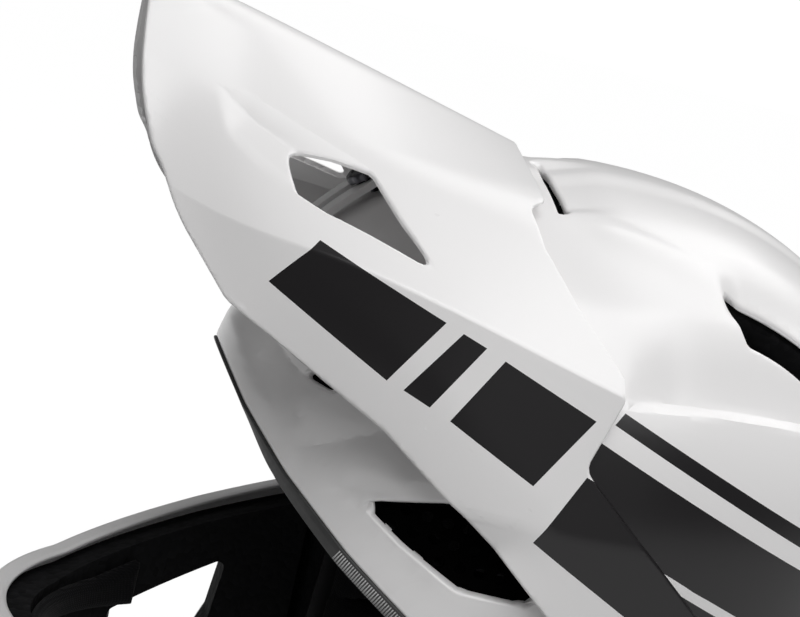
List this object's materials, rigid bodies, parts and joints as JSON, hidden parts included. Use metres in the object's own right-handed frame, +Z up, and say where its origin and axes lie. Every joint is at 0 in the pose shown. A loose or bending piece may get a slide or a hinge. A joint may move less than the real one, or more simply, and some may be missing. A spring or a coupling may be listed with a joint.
{
  "type": "full face bicycle helmet",
  "caption": "Full-face downhill bicycle helmet: gloss shell with chin bar and vents, foam liners, comfort pads, chin strap with rings, and a tilting peak on side screws.",
  "frame": {"origin": "on the resting plane, under the middle of the helmet's length and width", "axes": "+X to the wearer's left, +Y to the back of the head (the face looks along -Y), +Z up"},
  "size_m": [0.2556, 0.334, 0.2996],
  "materials": {
    "gloss_shell": "gloss white lacquer over moulded shell",
    "rubber_trim": "matt black extruded rubber",
    "foam": "black expanded foam",
    "pad_fabric": "black brushed fabric over foam",
    "black_plastic": "satin black moulded plastic",
    "steel": "plated steel",
    "screw_metal": "black anodised",
    "webbing": "woven black webbing",
    "ring_metal": "polished wire"
  },
  "bodies": {
    "helmet": {"outer_shell": "gloss_shell", "eye_port_trim": "rubber_trim", "base_trim": "rubber_trim", "impact_liner": "foam", "chin_bar_liner": "foam", "crown_pad": "pad_fabric", "brow_pad": "pad_fabric", "nape_pad": "pad_fabric", "cheek_plate_left": "black_plastic", "cheek_plate_right": "black_plastic", "cheek_pad_left": "pad_fabric", "cheek_pad_right": "pad_fabric", "neck_roll": "pad_fabric", "chin_bar_pad": "pad_fabric", "brow_screen_left": "black_plastic", "brow_screen_right": "black_plastic", "mouth_grille": "black_plastic", "peak_nut_left": "steel", "peak_nut_right": "steel", "brace_nut": "steel", "strap_left": "webbing", "strap_right": "webbing", "strap_anchor_left": "steel", "strap_anchor_right": "steel", "snap_stud": "black_plastic"},
    "peak": {"peak": "gloss_shell"},
    "peak_screw_left": {"peak_screw_left": "screw_metal"},
    "peak_screw_right": {"peak_screw_right": "screw_metal"},
    "brace_screw": {"peak_brace_screw": "screw_metal"},
    "ring_outer": {"ring_outer": "ring_metal"},
    "ring_inner": {"ring_inner": "ring_metal"}
  },
  "joints": [
    {"name": "peak_tilt", "type": "hinge", "parent": "helmet", "child": "peak", "pos_m": [0, 0.054, 0.115], "axis": [-1, 0, 0], "range_deg": [0, 12]},
    {"name": "peak_screw_left_turn", "type": "hinge", "parent": "helmet", "child": "peak_screw_left", "pos_m": [0.1236, 0.054, 0.115], "axis": [1, 0, 0], "continuous": true},
    {"name": "peak_screw_right_turn", "type": "hinge", "parent": "helmet", "child": "peak_screw_right", "pos_m": [-0.1236, 0.054, 0.115], "axis": [-1, 0, 0], "continuous": true},
    {"name": "brace_screw_turn", "type": "hinge", "parent": "helmet", "child": "brace_screw", "pos_m": [0, -0.06508, 0.24269], "axis": [0, -0.682, 0.7314], "continuous": true},
    {"name": "ring_outer_swing", "type": "hinge", "parent": "helmet", "child": "ring_outer", "pos_m": [0.06078, 0.052, 0.031], "axis": [0, 1, 0], "range_deg": [-12, 0]},
    {"name": "ring_inner_swing", "type": "hinge", "parent": "helmet", "child": "ring_inner", "pos_m": [0.05638, 0.052, 0.031], "axis": [0, 1, 0], "range_deg": [0, 60]}
  ]
}
